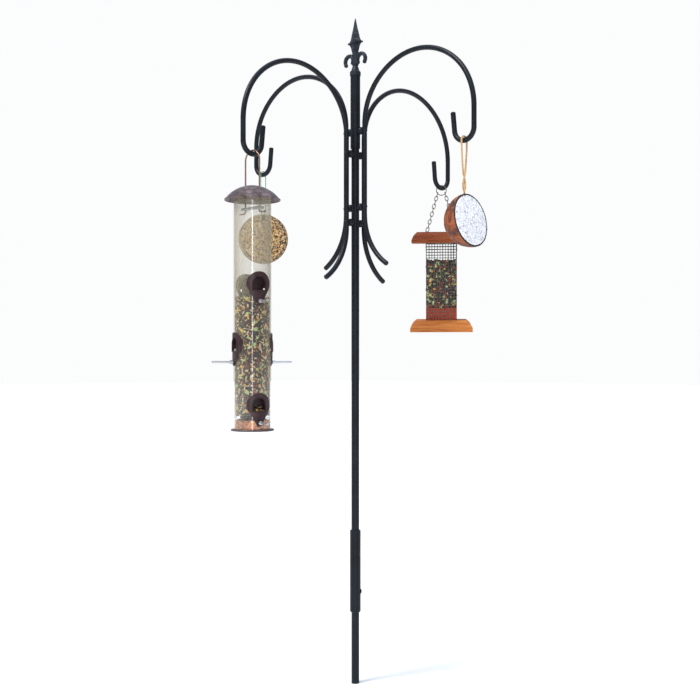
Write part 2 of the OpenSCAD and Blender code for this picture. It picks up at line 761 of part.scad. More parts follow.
module at_nut_rod() { translate([0, hook_x, rod_z[1]]) children(); }
module at_tabs() { translate([0, hook_x, tab_z]) rotate([0, 0, nut_yaw]) children(); }
// The cage's own frame: its top is at z = 0 and it leans about the tabs
module at_cage() {
    at_tabs() rotate([nut_lean, 0, 0]) translate([0, -lean_back, -tab_up]) children();
}

module nut_ring() {
    color(bright) at_nut_rod() translate([0, 0, ring_z]) rotate([90, 0, nut_yaw])
        rotate_extrude() translate([ring_r, 0]) circle(d = ring_wire);
}

module chain_link() {
    r = (link_w - link_wire) / 2;
    straight = link_l - link_w;
    for (s = [0, 1]) mirror([0, 0, s]) translate([0, 0, straight / 2]) rotate([90, 0, 0])
        rotate_extrude(angle = 180) translate([r, 0]) circle(d = link_wire);
    for (s = [-1, 1]) translate([s * r, 0, -straight / 2]) cylinder(d = link_wire, h = straight);
}

module chain_leg(s) {
    color(bright) at_tabs() for (k = [0 : link_n - 1])
        translate([s * tab_x, 0, 0]) rotate([0, -s * leg_a, 0])
            translate([0, 0, link_pitch * k + link_in / 2]) rotate([0, 0, 90 * (k % 2)])
                chain_link();
}
module nut_chain_left() { chain_leg(-1); }
module nut_chain_right() { chain_leg(1); }

// Half outline of a board's upper edge, w wide
function board_edge(w, t, band, inset) =
    [[w / 2, 0], [w / 2, band], [w / 2 - inset * 0.35, band + (t - band) * 0.55],
     [w / 2 - inset, t]];
module board_outline(w, t, band, inset) {
    edge = board_edge(w, t, band, inset);
    polygon(concat(edge, [for (i = [3 : -1 : 0]) [-edge[i][0], edge[i][1]]]));
}

// Board with its upper edges bevelled
module board(w, t, band, inset) {
    intersection() {
        rotate([90, 0, 0]) translate([0, 0, -w / 2]) linear_extrude(w)
            board_outline(w, t, band, inset);
        rotate([90, 0, 90]) translate([0, 0, -w / 2]) linear_extrude(w)
            board_outline(board_depth, t, band, inset);
    }
}

module nut_roof() {
    color([0.62, 0.3, 0.14]) difference() {
        at_cage() translate([0, 0, free_gap]) board(roof_w, roof_t, 6, 12);
        at_tabs() for (s = [0, 1]) mirror([s, 0, 0])
            translate([slot_in, -slot_side, -30]) cube([slot_out - slot_in, slot_w, 80]);
    }
}

module nut_cage() {
    color([0.5, 0.52, 0.52]) at_cage() translate([0, 0, -cage_h]) difference() {
        translate([-cage_w / 2, -cage_w / 2, 0]) cube([cage_w, cage_w, cage_h]);
        translate([-cage_w / 2 + cage_wall, -cage_w / 2 + cage_wall, -1])
            cube([cage_w - 2 * cage_wall, cage_w - 2 * cage_wall, cage_h + 2]);
    }
}

// Steel tabs on the cage's sides, each with a hole for the last link
module nut_tabs() {
    thick = 1.6;
    for (s = [-1, 1]) color(bright) difference() {
        at_cage() translate([s * (cage_w / 2 + seat_gap + thick / 2) - thick / 2, lean_back - 4, -18])
            cube([thick, 8, 18 + tab_up + 4]);
        at_tabs() cross_bar(4.6, s * cage_w / 2 - 8, s * cage_w / 2 + 8, 0);
    }
}

module nut_block() {
    w = cage_w - 2 * cage_wall - 2 * seat_gap;
    color([0.6, 0.22, 0.12]) at_cage() translate([-w / 2, -w / 2, -cage_h]) difference() {
        cube([w, w, block_h]);
        for (s = [-1, 1]) translate([w / 2 + s * w / 4, w / 2, -1])
            cylinder(d = 3.5 + 2 * seat_gap, h = 17);
    }
}

module nut_base() {
    color(timber) at_cage() translate([0, 0, -cage_h - board_t - seat_gap]) difference() {
        board(board_w, board_t, 9, 13);
        for (s = [-1, 1]) translate([s * (cage_w - 2 * cage_wall) / 4, 0, -1]) {
            cylinder(d = 3.9, h = board_t + 2);
            cylinder(d1 = 10, d2 = 3.9, h = 5);
        }
    }
}

module nut_screws() {
    for (s = [-1, 1]) color(bright) at_cage()
        translate([s * (cage_w - 2 * cage_wall - 2 * seat_gap) / 4, 0, -cage_h - board_t]) {
            cylinder(d = 3.5, h = board_t + 15);
            translate([0, 0, 0.3]) cylinder(d1 = 7, d2 = 3.5, h = 3);
        }
}

module nut_seed() {
    w = cage_w - 2 * cage_wall - 0.6;
    color([0.25, 0.22, 0.14]) at_cage()
        translate([-w / 2, -w / 2, -cage_h + block_h + 0.2]) cube([w, w, nut_fill_h - block_h]);
}

// ---- the assembly, one node per piece ----

ground_spike();
lower_pole();
joint_sleeve();
clamp_screw();
mast_pole();
head_tube();
finial();
for (i = [0 : 3]) arm(i);
upper_ball_spacers();
lower_ball_spacers();
arm_bolts();
arm_nuts();
tube_bail();
bail_strap();
tube_cap();
clear_tube();
for (i = [0 : 5]) port(i);
for (k = [0 : 2]) perch(k);
perch_collars();
tube_base();
tube_insert();
base_screws();
tube_seed();
seed_cake();
cake_string();
coconut_shell();
coconut_suet();
coconut_twine();
twine_knot();
nut_ring();
nut_chain_left();
nut_chain_right();
nut_roof();
nut_cage();
nut_tabs();
nut_block();
nut_base();
nut_screws();
nut_seed();
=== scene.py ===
"""A garden bird feeding station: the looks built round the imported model."""

import json
import math
import random

import bmesh
import bpy
from mathutils import Matrix, Vector, noise


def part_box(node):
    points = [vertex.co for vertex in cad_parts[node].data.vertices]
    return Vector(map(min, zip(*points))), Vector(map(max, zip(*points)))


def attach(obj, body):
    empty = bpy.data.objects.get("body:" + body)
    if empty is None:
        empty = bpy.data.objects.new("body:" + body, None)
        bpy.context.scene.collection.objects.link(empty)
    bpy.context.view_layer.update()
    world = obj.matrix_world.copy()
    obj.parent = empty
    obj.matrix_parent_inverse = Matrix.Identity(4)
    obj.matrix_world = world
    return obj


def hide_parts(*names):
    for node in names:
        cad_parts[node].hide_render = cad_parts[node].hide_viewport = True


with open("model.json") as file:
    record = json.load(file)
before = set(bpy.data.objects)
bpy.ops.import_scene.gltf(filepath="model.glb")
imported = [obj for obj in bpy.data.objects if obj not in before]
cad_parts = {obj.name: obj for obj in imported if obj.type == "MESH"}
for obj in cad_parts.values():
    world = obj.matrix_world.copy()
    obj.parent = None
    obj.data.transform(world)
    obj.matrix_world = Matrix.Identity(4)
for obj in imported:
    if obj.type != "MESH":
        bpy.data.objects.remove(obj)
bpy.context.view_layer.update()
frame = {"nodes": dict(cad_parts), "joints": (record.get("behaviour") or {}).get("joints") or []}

MM = 0.001
JOINTS = {joint["name"]: joint for joint in frame["joints"]}


# ---- camera ----

CAMERA_AZIMUTH = math.radians(43.2)
CAMERA_DISTANCE = 2.297
CAMERA_HEIGHT = 0.654


def make_camera():
    data = bpy.data.cameras.new("camera")
    data.lens = 57.6
    data.sensor_width = 36
    data.shift_x = -0.0076
    data.shift_y = 0.02
    camera = bpy.data.objects.new("camera", data)
    camera.location = (
        CAMERA_DISTANCE * math.sin(CAMERA_AZIMUTH),
        -CAMERA_DISTANCE * math.cos(CAMERA_AZIMUTH),
        CAMERA_HEIGHT,
    )
    camera.rotation_euler = (math.pi / 2, 0, CAMERA_AZIMUTH)
    bpy.context.scene.collection.objects.link(camera)
    bpy.context.scene.camera = camera


make_camera()
bpy.context.scene.view_settings.view_transform = "Standard"


# ---- material helpers ----

class Surface:
    """A node material with a Principled shader, and short calls that add textures to it."""

    def __init__(self, name, roughness=0.5, metallic=0.0, coat=0.0):
        self.material = bpy.data.materials.new(name)
        self.material.use_nodes = True
        self.nodes = self.material.node_tree.nodes
        self.links = self.material.node_tree.links
        self.shader = self.nodes["Principled BSDF"]
        self.shader.inputs["Roughness"].default_value = roughness
        self.shader.inputs["Metallic"].default_value = metallic
        self.shader.inputs["Coat Weight"].default_value = coat
        self.place = self.nodes.new("ShaderNodeTexCoord").outputs["Object"]
        self.height = None

    def stretched(self, scale, rotation=(0, 0, 0)):
        """The object coordinates turned by rotation and then scaled along each axis."""
        turn = self.nodes.new("ShaderNodeMapping")
        turn.inputs["Rotation"].default_value = rotation
        self.links.new(self.place, turn.inputs["Vector"])
        size = self.nodes.new("ShaderNodeMapping")
        size.inputs["Scale"].default_value = scale
        self.links.new(turn.outputs["Vector"], size.inputs["Vector"])
        return size.outputs["Vector"]

    def noise(self, scale, detail=4, roughness=0.55, distortion=0.0, at=None):
        node = self.nodes.new("ShaderNodeTexNoise")
        node.inputs["Scale"].default_value = scale
        node.inputs["Detail"].default_value = detail
        node.inputs["Roughness"].default_value = roughness
        node.inputs["Distortion"].default_value = distortion
        self.links.new(at or self.place, node.inputs["Vector"])
        return node.outputs["Fac"]

    def cells(self, scale, at=None, output="Distance"):
        node = self.nodes.new("ShaderNodeTexVoronoi")
        node.inputs["Scale"].default_value = scale
        self.links.new(at or self.place, node.inputs["Vector"])
        return node.outputs[output]

    def waves(self, scale, distortion, at=None):
        node = self.nodes.new("ShaderNodeTexWave")
        node.inputs["Scale"].default_value = scale
        node.inputs["Distortion"].default_value = distortion
        node.inputs["Detail"].default_value = 3
        node.inputs["Detail Scale"].default_value = 1.5
        self.links.new(at or self.place, node.inputs["Vector"])
        return node.outputs["Fac"]

    def ramp(self, value, stops):
        """A colour ramp: stops are (position, (r, g, b))."""
        node = self.nodes.new("ShaderNodeValToRGB")
        elements = node.color_ramp.elements
        while len(elements) < len(stops):
            elements.new(0.5)
        for element, (position, colour) in zip(elements, stops):
            element.position = position
            element.color = (*colour, 1)
        self.links.new(value, node.inputs["Fac"])
        return node.outputs["Color"]

    def level(self, value, low, high, start=0.0, end=1.0):
        """The value's range start..end spread over low..high."""
        node = self.nodes.new("ShaderNodeMapRange")
        node.inputs["From Min"].default_value = start
        node.inputs["From Max"].default_value = end
        node.inputs["To Min"].default_value = low
        node.inputs["To Max"].default_value = high
        self.links.new(value, node.inputs["Value"])
        return node.outputs["Result"]

    def times(self, first, second):
        node = self.nodes.new("ShaderNodeMath")
        node.operation = "MULTIPLY"
        self.links.new(first, node.inputs[0])
        self.links.new(second, node.inputs[1])
        return node.outputs[0]

    def mix(self, factor, first, second, blend="MIX"):
        node = self.nodes.new("ShaderNodeMix")
        node.data_type = "RGBA"
        node.blend_type = blend
        for value, socket in ((factor, 0), (first, 6), (second, 7)):
            if isinstance(value, bpy.types.NodeSocket):
                self.links.new(value, node.inputs[socket])
            elif socket == 0:
                node.inputs[socket].default_value = value
            else:
                node.inputs[socket].default_value = (*value, 1)
        return node.outputs[2]

    def colour(self, value):
        self.links.new(value, self.shader.inputs["Base Color"])

    def rough(self, value, low, high):
        self.links.new(self.level(value, low, high), self.shader.inputs["Roughness"])

    def bump(self, value, strength, distance):
        node = self.nodes.new("ShaderNodeBump")
        node.inputs["Strength"].default_value = strength
        node.inputs["Distance"].default_value = distance
        self.links.new(value, node.inputs["Height"])
        if self.height:
            self.links.new(self.height, node.inputs["Normal"])
        self.height = node.outputs["Normal"]
        self.links.new(self.height, self.shader.inputs["Normal"])


# ---- materials ----

def black_paint():
    s = Surface("black_paint", roughness=0.4)
    s.shader.inputs["Specular IOR Level"].default_value = 0.22
    patches = s.noise(26, detail=6)
    s.colour(s.ramp(patches, [(0.3, (0.003, 0.004, 0.006)), (0.7, (0.009, 0.013, 0.019))]))
    s.rough(s.noise(60, detail=5), 0.28, 0.48)
    s.bump(s.noise(420, detail=3), 0.12, 0.0005)
    s.bump(s.noise(1500, detail=2), 0.06, 0.0003)
    return s.material


def cast_paint():
    s = Surface("cast_paint", roughness=0.45)
    s.shader.inputs["Specular IOR Level"].default_value = 0.22
    patches = s.noise(60, detail=6)
    s.colour(s.ramp(patches, [(0.3, (0.007, 0.010, 0.015)), (0.7, (0.024, 0.033, 0.046))]))
    s.rough(patches, 0.34, 0.54)
    s.bump(s.noise(240, detail=5), 0.4, 0.0012)
    s.bump(s.noise(1100, detail=3), 0.3, 0.0005)
    return s.material


def bare_metal(name, dark, light, roughness=0.32, scratch=900):
    s = Surface(name, roughness=roughness, metallic=1.0)
    streaks = s.noise(scratch, detail=5, at=s.stretched((1, 1, 0.12)))
    s.colour(s.ramp(streaks, [(0.3, dark), (0.7, light)]))
    s.rough(s.noise(220, detail=4), roughness - 0.08, roughness + 0.14)
    s.bump(streaks, 0.12, 0.0003)
    return s.material


def hammered_enamel():
    s = Surface("hammered_enamel", roughness=0.4)
    s.shader.inputs["Specular IOR Level"].default_value = 0.4
    dents = s.cells(115)
    mottle = s.noise(48, detail=8, roughness=0.72)
    base = s.ramp(mottle, [(0.38, (0.025, 0.013, 0.012)), (0.5, (0.095, 0.062, 0.064)),
                           (0.62, (0.26, 0.205, 0.212))])
    s.colour(s.mix(s.level(dents, 0.0, 0.45), base, (0.03, 0.022, 0.024)))
    s.rough(mottle, 0.3, 0.5)
    s.bump(dents, 0.35, 0.0014)
    s.bump(s.noise(900, detail=3), 0.15, 0.0004)
    return s.material


def brown_plastic():
    s = Surface("brown_plastic", roughness=0.3)
    s.shader.inputs["Specular IOR Level"].default_value = 0.35
    patches = s.noise(90, detail=5)
    s.colour(s.ramp(patches, [(0.3, (0.020, 0.008, 0.009)), (0.7, (0.052, 0.023, 0.025))]))
    s.rough(s.noise(260, detail=4), 0.24, 0.42)
    s.bump(s.noise(1300, detail=2), 0.12, 0.0003)
    return s.material


def brown_enamel():
    s = Surface("brown_enamel", roughness=0.38, coat=0.25)
    patches = s.noise(80, detail=6)
    s.colour(s.ramp(patches, [(0.3, (0.042, 0.022, 0.018)), (0.7, (0.095, 0.055, 0.045))]))
    s.rough(patches, 0.3, 0.5)
    s.bump(s.noise(600, detail=4), 0.25, 0.0006)
    return s.material


def copper_lining():
    s = Surface("copper_lining", roughness=0.3, metallic=0.9)
    streaks = s.noise(160, detail=6, distortion=0.4)
    s.colour(s.ramp(streaks, [(0.3, (0.20, 0.055, 0.022)), (0.5, (0.50, 0.19, 0.085)),
                              (0.72, (0.80, 0.42, 0.24))]))
    s.rough(streaks, 0.22, 0.42)
    s.bump(streaks, 0.2, 0.0006)
    return s.material


def clear_plastic():
    """Clear tube: denser where it curves away, with a film of dust above the seed."""
    s = Surface("clear_plastic", roughness=0.08)
    s.shader.inputs["IOR"].default_value = 1.5
    film = s.noise(35, detail=6, at=s.stretched((1, 1, 0.25)))
    s.colour(s.ramp(film, [(0.3, (0.34, 0.29, 0.18)), (0.7, (0.50, 0.45, 0.32))]))
    s.rough(s.noise(90, detail=4), 0.03, 0.10)
    edge = s.nodes.new("ShaderNodeLayerWeight")
    edge.inputs["Blend"].default_value = 0.32
    split = s.nodes.new("ShaderNodeSeparateXYZ")
    s.links.new(s.place, split.inputs[0])
    seed_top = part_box("tube_seed")[1].z
    dust = s.level(split.outputs["Z"], 0.0, 0.13, seed_top - 10 * MM, seed_top + 12 * MM)
    cover = s.level(edge.outputs["Facing"], 0.02, 0.46)
    for more in (dust, s.level(film, -0.03, 0.05)):
        total = s.nodes.new("ShaderNodeMath")
        total.operation = "ADD"
        total.use_clamp = True
        s.links.new(cover, total.inputs[0])
        s.links.new(more, total.inputs[1])
        cover = total.outputs[0]
    s.links.new(cover, s.shader.inputs["Alpha"])
    shine = s.nodes.new("ShaderNodeBsdfGlossy")
    shine.inputs["Color"].default_value = (0.035, 0.035, 0.035, 1)
    shine.inputs["Roughness"].default_value = 0.12
    both = s.nodes.new("ShaderNodeAddShader")
    s.links.new(s.shader.outputs[0], both.inputs[0])
    s.links.new(shine.outputs[0], both.inputs[1])
    s.links.new(both.outputs[0], s.nodes["Material Output"].inputs["Surface"])
    return s.material


def stained_wood(name, dark, middle, light, turn):
    """Straight-grained softwood under stain; turn lays the grain along the board."""
    s = Surface(name, roughness=0.55)
    s.shader.inputs["Specular IOR Level"].default_value = 0.25
    along = s.stretched((6, 90, 90), turn)
    grain = s.noise(3.2, detail=9, roughness=0.62, distortion=0.5, at=along)
    bands = s.waves(0.16, 7, at=along)
    pores = s.noise(14, detail=4, at=s.stretched((9, 240, 240), turn))
    tone = s.ramp(grain, [(0.28, dark), (0.48, middle), (0.72, light)])
    tone = s.mix(s.level(bands, 0.0, 0.45), tone, dark)
    s.colour(s.mix(s.level(pores, 0.35, 0.0, 0.2, 0.55), tone, tuple(c * 0.35 for c in dark)))
    s.rough(grain, 0.42, 0.68)
    s.bump(grain, 0.3, 0.0012)
    s.bump(pores, 0.2, 0.0006)
    return s.material


def seed_coat(name, dark, light, scale=420, roughness=0.5, stretch=1.0):
    s = Surface(name, roughness=roughness)
    spots = s.noise(scale, detail=4, roughness=0.65, at=s.stretched((1, 1, stretch)))
    s.colour(s.ramp(spots, [(0.34, dark), (0.66, light)]))
    s.rough(spots, roughness - 0.1, roughness + 0.15)
    s.bump(s.noise(scale * 2.5, detail=3), 0.3, 0.0005)
    return s.material


def husk():
    s = Surface("husk", roughness=0.62)
    fibres = s.noise(34, detail=10, roughness=0.75, distortion=1.4, at=s.stretched((1, 1, 0.45)))
    fine = s.noise(260, detail=6, roughness=0.7, distortion=0.8)
    base = s.ramp(fibres, [(0.36, (0.016, 0.004, 0.001)), (0.47, (0.11, 0.024, 0.005)),
                           (0.56, (0.36, 0.085, 0.015)), (0.70, (0.64, 0.25, 0.065))])
    s.colour(s.mix(s.level(fine, 0.0, 0.6, 0.45, 0.75), base, (0.09, 0.024, 0.008)))
    s.rough(fibres, 0.45, 0.8)
    s.bump(fibres, 0.5, 0.003)
    s.bump(fine, 0.5, 0.001)
    return s.material


def shell_rim():
    s = Surface("shell_rim", roughness=0.5)
    spots = s.noise(240, detail=5)
    s.colour(s.ramp(spots, [(0.35, (0.006, 0.003, 0.003)), (0.68, (0.032, 0.014, 0.010))]))
    s.rough(spots, 0.4, 0.65)
    s.bump(spots, 0.4, 0.001)
    return s.material


def suet():
    s = Surface("suet", roughness=0.55)
    s.shader.inputs["Subsurface Weight"].default_value = 0.15
    s.shader.inputs["Subsurface Radius"].default_value = (0.004, 0.003, 0.003)
    clouds = s.noise(75, detail=6)
    flecks = s.noise(150, detail=7, roughness=0.72, distortion=0.7)
    specks = s.noise(520, detail=4, roughness=0.6)
    base = s.ramp(clouds, [(0.3, (0.86, 0.86, 0.90)), (0.6, (0.98, 0.98, 0.98))])
    grey = s.mix(s.level(flecks, 0.0, 0.75, 0.53, 0.60), base, (0.36, 0.33, 0.44))
    dots = s.level(s.cells(165), 0.85, 0.0, 0.16, 0.34)
    s.colour(s.mix(s.times(dots, s.level(clouds, 0.0, 1.0, 0.44, 0.54)), grey, (0.17, 0.13, 0.17)))
    s.rough(clouds, 0.45, 0.7)
    s.bump(flecks, 0.4, 0.0015)
    s.bump(specks, 0.35, 0.0007)
    return s.material


def cord_fibre(name, dark, middle, light):
    s = Surface(name, roughness=0.8)
    s.shader.inputs["Sheen Weight"].default_value = 0.35
    fibres = s.noise(700, detail=6, roughness=0.7, at=s.stretched((1, 1, 0.3)))
    s.colour(s.ramp(fibres, [(0.3, dark), (0.5, middle), (0.72, light)]))
    s.rough(fibres, 0.65, 0.95)
    s.bump(fibres, 0.6, 0.0008)
    return s.material


BLACK = black_paint()
CAST = cast_paint()
ZINC = bare_metal("zinc", (0.42, 0.43, 0.45), (0.78, 0.79, 0.80))
CHAIN = bare_metal("chain_steel", (0.10, 0.09, 0.075), (0.36, 0.33, 0.28), 0.42)
BRONZE = bare_metal("bronze_wire", (0.20, 0.105, 0.065), (0.42, 0.25, 0.17), 0.36)
MESH = bare_metal("mesh_wire", (0.05, 0.05, 0.045), (0.24, 0.23, 0.20), 0.5)
ENAMEL = hammered_enamel()
BROWN = brown_plastic()
BASE_BROWN = brown_enamel()
COPPER = copper_lining()
CLEAR = clear_plastic()
ROOF_WOOD = stained_wood("roof_wood", (0.10, 0.014, 0.002), (0.28, 0.056, 0.009),
                         (0.46, 0.125, 0.022), (0, 0, math.radians(-39)))
BASE_WOOD = stained_wood("base_wood", (0.26, 0.060, 0.008), (0.54, 0.170, 0.030),
                         (0.74, 0.30, 0.070), (0, 0, math.radians(-39)))
BLOCK_WOOD = stained_wood("block_wood", (0.16, 0.012, 0.003), (0.38, 0.045, 0.010),
                          (0.52, 0.10, 0.022), (0, 0, math.radians(-39)))
HUSK = husk()
RIM = shell_rim()
SUET = suet()
TWINE = cord_fibre("twine", (0.33, 0.17, 0.055), (0.58, 0.35, 0.13), (0.78, 0.54, 0.26))
STRING = cord_fibre("green_string", (0.02, 0.16, 0.09), (0.06, 0.32, 0.19), (0.16, 0.50, 0.33))

# Kinds of seed: material, half length, half width, half thickness (mm), share of the mix
STRIPED = seed_coat("striped_seed", (0.003, 0.0025, 0.0025), (0.035, 0.028, 0.022), 500, 0.45, 0.2)
WHEAT = seed_coat("wheat", (0.32, 0.17, 0.055), (0.66, 0.44, 0.18))
MILO = seed_coat("milo", (0.09, 0.015, 0.007), (0.26, 0.05, 0.02))
PEA = seed_coat("pumpkin_seed", (0.20, 0.25, 0.07), (0.52, 0.60, 0.27))
MAIZE = seed_coat("maize", (0.50, 0.24, 0.025), (0.80, 0.47, 0.09))
OAT = seed_coat("oat", (0.42, 0.29, 0.13), (0.82, 0.68, 0.44))
# Core colour under every heap: seed dust, darkened further as painted shade for the gaps between
# the seeds
SEED_DUST_AND_SHADE = seed_coat("seed_dust_and_shade", (0.03, 0.018, 0.010), (0.15, 0.10, 0.05), 260, 0.75)
SEED_MATERIALS = [SEED_DUST_AND_SHADE, STRIPED, WHEAT, MILO, PEA, MAIZE, OAT]
FEEDER_MIX = [(1, 4.6, 2.2, 1.1, 46), (2, 3.0, 1.3, 1.1, 17), (3, 2.0, 1.9, 1.6, 16),
              (4, 5.4, 3.8, 1.0, 3.5), (5, 3.2, 2.8, 1.4, 2.5), (6, 4.4, 1.3, 0.9, 15)]
NUT_MIX = [(1, 5.0, 2.6, 1.6, 62), (2, 3.4, 1.8, 1.4, 5), (3, 4.2, 2.8, 2.2, 14),
           (4, 5.6, 4.0, 1.4, 9), (5, 3.4, 2.8, 1.6, 5), (6, 4.0, 1.6, 1.1, 3)]
CAKE_MIX = [(1, 3.2, 1.5, 1.0, 10), (2, 2.9, 1.2, 1.1, 40), (3, 1.6, 1.5, 1.3, 16),
            (5, 2.2, 1.8, 1.2, 4), (6, 3.2, 1.1, 0.9, 30)]


# ---- mesh helpers ----

def new_object(name, mesh, body, nodes=(), materials=(), smooth=True):
    """Makes the piece, hangs it on its body and hides the CAD nodes it stands in for."""
    thing = bpy.data.objects.new(name, mesh)
    bpy.context.scene.collection.objects.link(thing)
    for material in materials:
        mesh.materials.append(material)
    if smooth:
        mesh.polygons.foreach_set("use_smooth", [True] * len(mesh.polygons))
    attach(thing, body)
    if nodes:
        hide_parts(*nodes)
    return thing


def mesh_from(name, points, faces, indices=None):
    mesh = bpy.data.meshes.new(name)
    mesh.from_pydata([tuple(p) for p in points], [], faces)
    if indices:
        mesh.polygons.foreach_set("material_index", indices)
    mesh.update()
    return mesh


def paint(node, *materials):
    """Gives a CAD node its materials."""
    thing = frame["nodes"][node]
    thing.data.materials.clear()
    for material in materials:
        thing.data.materials.append(material)
    return thing


def soften(node, width, segments=3, angle=30):
    """Rounds a CAD node's sharp edges."""
    bevel = frame["nodes"][node].modifiers.new("bevel", "BEVEL")
    bevel.width = width * MM
    bevel.segments = segments
    bevel.limit_method = "ANGLE"
    bevel.angle_limit = math.radians(angle)
    bevel.harden_normals = True


def smooth_line(route, steps):
    """Points along a smooth curve through the route, steps of them to each stretch."""
    points = [Vector(p) for p in route]
    line = []
    for i in range(len(points) - 1):
        a, b, c, d = (points[max(i - 1, 0)], points[i], points[i + 1],
                      points[min(i + 2, len(points) - 1)])
        for k in range(steps):
            t = k / steps
            line.append(0.5 * (2 * b + (c - a) * t + (2 * a - 5 * b + 4 * c - d) * t * t
                               + (3 * b - a - 3 * c + d) * t ** 3))
    line.append(points[-1])
    return line


def line_frames(line):
    """A pair of vectors square to the line at each of its points, without twist."""
    pairs = []
    side = Vector((1, 0.2, 0.1))
    for i in range(len(line)):
        ahead = (line[min(i + 1, len(line) - 1)] - line[max(i - 1, 0)]).normalized()
        side = (side - side.dot(ahead) * ahead).normalized()
        pairs.append((side, ahead.cross(side)))
    return pairs


def swept(line, radius, sides, points, faces, closed=False):
    """Adds a tube along the line to the points and faces; radius may depend on the ring."""
    first = len(points)
    pairs = line_frames(line)
    for i, (centre, (u, v)) in enumerate(zip(line, pairs)):
        r = radius(i) if callable(radius) else radius
        for k in range(sides):
            a = 2 * math.pi * k / sides
            points.append(centre + r * (math.cos(a) * u + math.sin(a) * v))
    rings = len(line)
    for i in range(rings if closed else rings - 1):
        for k in range(sides):
            here, there = first + i * sides, first + (i + 1) % rings * sides
            faces.append((here + k, here + (k + 1) % sides,
                          there + (k + 1) % sides, there + k))
    if not closed:
        faces.append(tuple(first + k for k in reversed(range(sides))))
        faces.append(tuple(first + (rings - 1) * sides + k for k in range(sides)))


def rope(name, route, origin, diameter, strands, turn_length, body, nodes, material):
    """Laid rope along a route given in millimetres about origin."""
    line = [origin + p * MM for p in smooth_line(route, 6)]
    pairs = line_frames(line)
    radius = diameter * MM / 2
    strand = radius * (0.56 if strands == 3 else 0.5)
    points, faces = [], []
    for s in range(strands):
        travel = 0.0
        helix = []
        for i, (centre, (u, v)) in enumerate(zip(line, pairs)):
            if i:
                travel += (centre - line[i - 1]).length
            a = 2 * math.pi * (travel / (turn_length * MM) + s / strands)
            helix.append(centre + (radius - strand) * (math.cos(a) * u + math.sin(a) * v))
        swept(helix, lambda i: strand * (1 + 0.06 * math.sin(i * 2.3 + s)), 8, points, faces)
    laid = new_object(name, mesh_from(name, points, faces), body, nodes, [material])
    return laid


def seed_shape():
    """Points and faces of a small ellipsoid, pointed a little along X."""
    shape = bmesh.new()
    bmesh.ops.create_icosphere(shape, subdivisions=2, radius=1)
    points = [v.co.copy() for v in shape.verts]
    faces = [tuple(v.index for v in f.verts) for f in shape.faces]
    shape.free()
    for p in points:
        p.y *= 1 - 0.35 * max(0, p.x) ** 2
        p.z *= 1 - 0.35 * max(0, p.x) ** 2
    return points, faces


SEED_POINTS, SEED_FACES = seed_shape()


class Heap:
    """Loose seeds of a mix, gathered into one mesh."""

    def __init__(self, mix, seed):
        self.mix = mix
        self.random = random.Random(seed)
        self.points = []
        self.faces = []
        self.indices = []

    def seed(self, centre, normal, lean=0.3, scale=1.0):
        """Lays one seed at centre, flat side towards normal but tipped by up to lean."""
        kind, a, b, c = self.random.choices(
            [k[:4] for k in self.mix], weights=[k[4] for k in self.mix])[0]
        size = scale * self.random.uniform(0.82, 1.15) * MM
        up = (Vector(normal).normalized() + lean * Vector(
            self.random.uniform(-1, 1) for _ in range(3))).normalized()
        along = up.orthogonal().normalized()
        along.rotate(Matrix.Rotation(self.random.uniform(0, 2 * math.pi), 3, up))
        across = up.cross(along)
        first = len(self.points)
        for p in SEED_POINTS:
            self.points.append(Vector(centre) + size * (
                a * p.x * along + b * p.y * across + c * p.z * up))
        self.faces += [tuple(first + i for i in f) for f in SEED_FACES]
        self.indices += [kind] * len(SEED_FACES)

    def core(self, points, faces):
        """Adds the solid that the seeds lie on, in the first material: seed dust with painted
        shade for the gaps between the seeds.
        """
        first = len(self.points)
        self.points += [Vector(p) for p in points]
        self.faces += [tuple(first + i for i in f) for f in faces]
        self.indices += [0] * len(faces)

    def make(self, name, body, nodes):
        mesh = mesh_from(name, self.points, self.faces, self.indices)
        return new_object(name, mesh, body, nodes, SEED_MATERIALS)


# ---- pole and arms ----

for node in ("ground_spike", "lower_pole", "joint_sleeve", "clamp_screw", "mast_pole", "head_tube",
             "arm_front_right", "arm_back_right", "arm_back_left", "arm_front_left",
             "upper_ball_spacers", "lower_ball_spacers", "arm_bolts", "arm_nuts"):
    paint(node, BLACK)
paint("finial", CAST)


# ---- tube feeder ----

for node in ("port_upper_front", "port_upper_back", "port_middle_right", "port_middle_left",
             "port_lower_front", "port_lower_back"):
    paint(node, BROWN)
    soften(node, 0.5, 2, 40)
for node in ("perch_upper", "perch_middle", "perch_lower", "perch_collars", "bail_strap",
             "base_screws"):
    paint(node, ZINC)
for node, width in (("perch_upper", 0.7), ("perch_middle", 0.7), ("perch_lower", 0.7),
                    ("bail_strap", 0.4)):
    soften(node, width, 2, 40)
paint("tube_bail", BRONZE)
paint("tube_cap", ENAMEL)
paint("clear_tube", CLEAR)
paint("tube_base", BASE_BROWN)
paint("tube_insert", COPPER)

PORT_YAWS = {"port_upper_front": -21, "port_upper_back": 159, "port_middle_right": 69,
             "port_middle_left": 249, "port_lower_front": -21, "port_lower_back": 159}


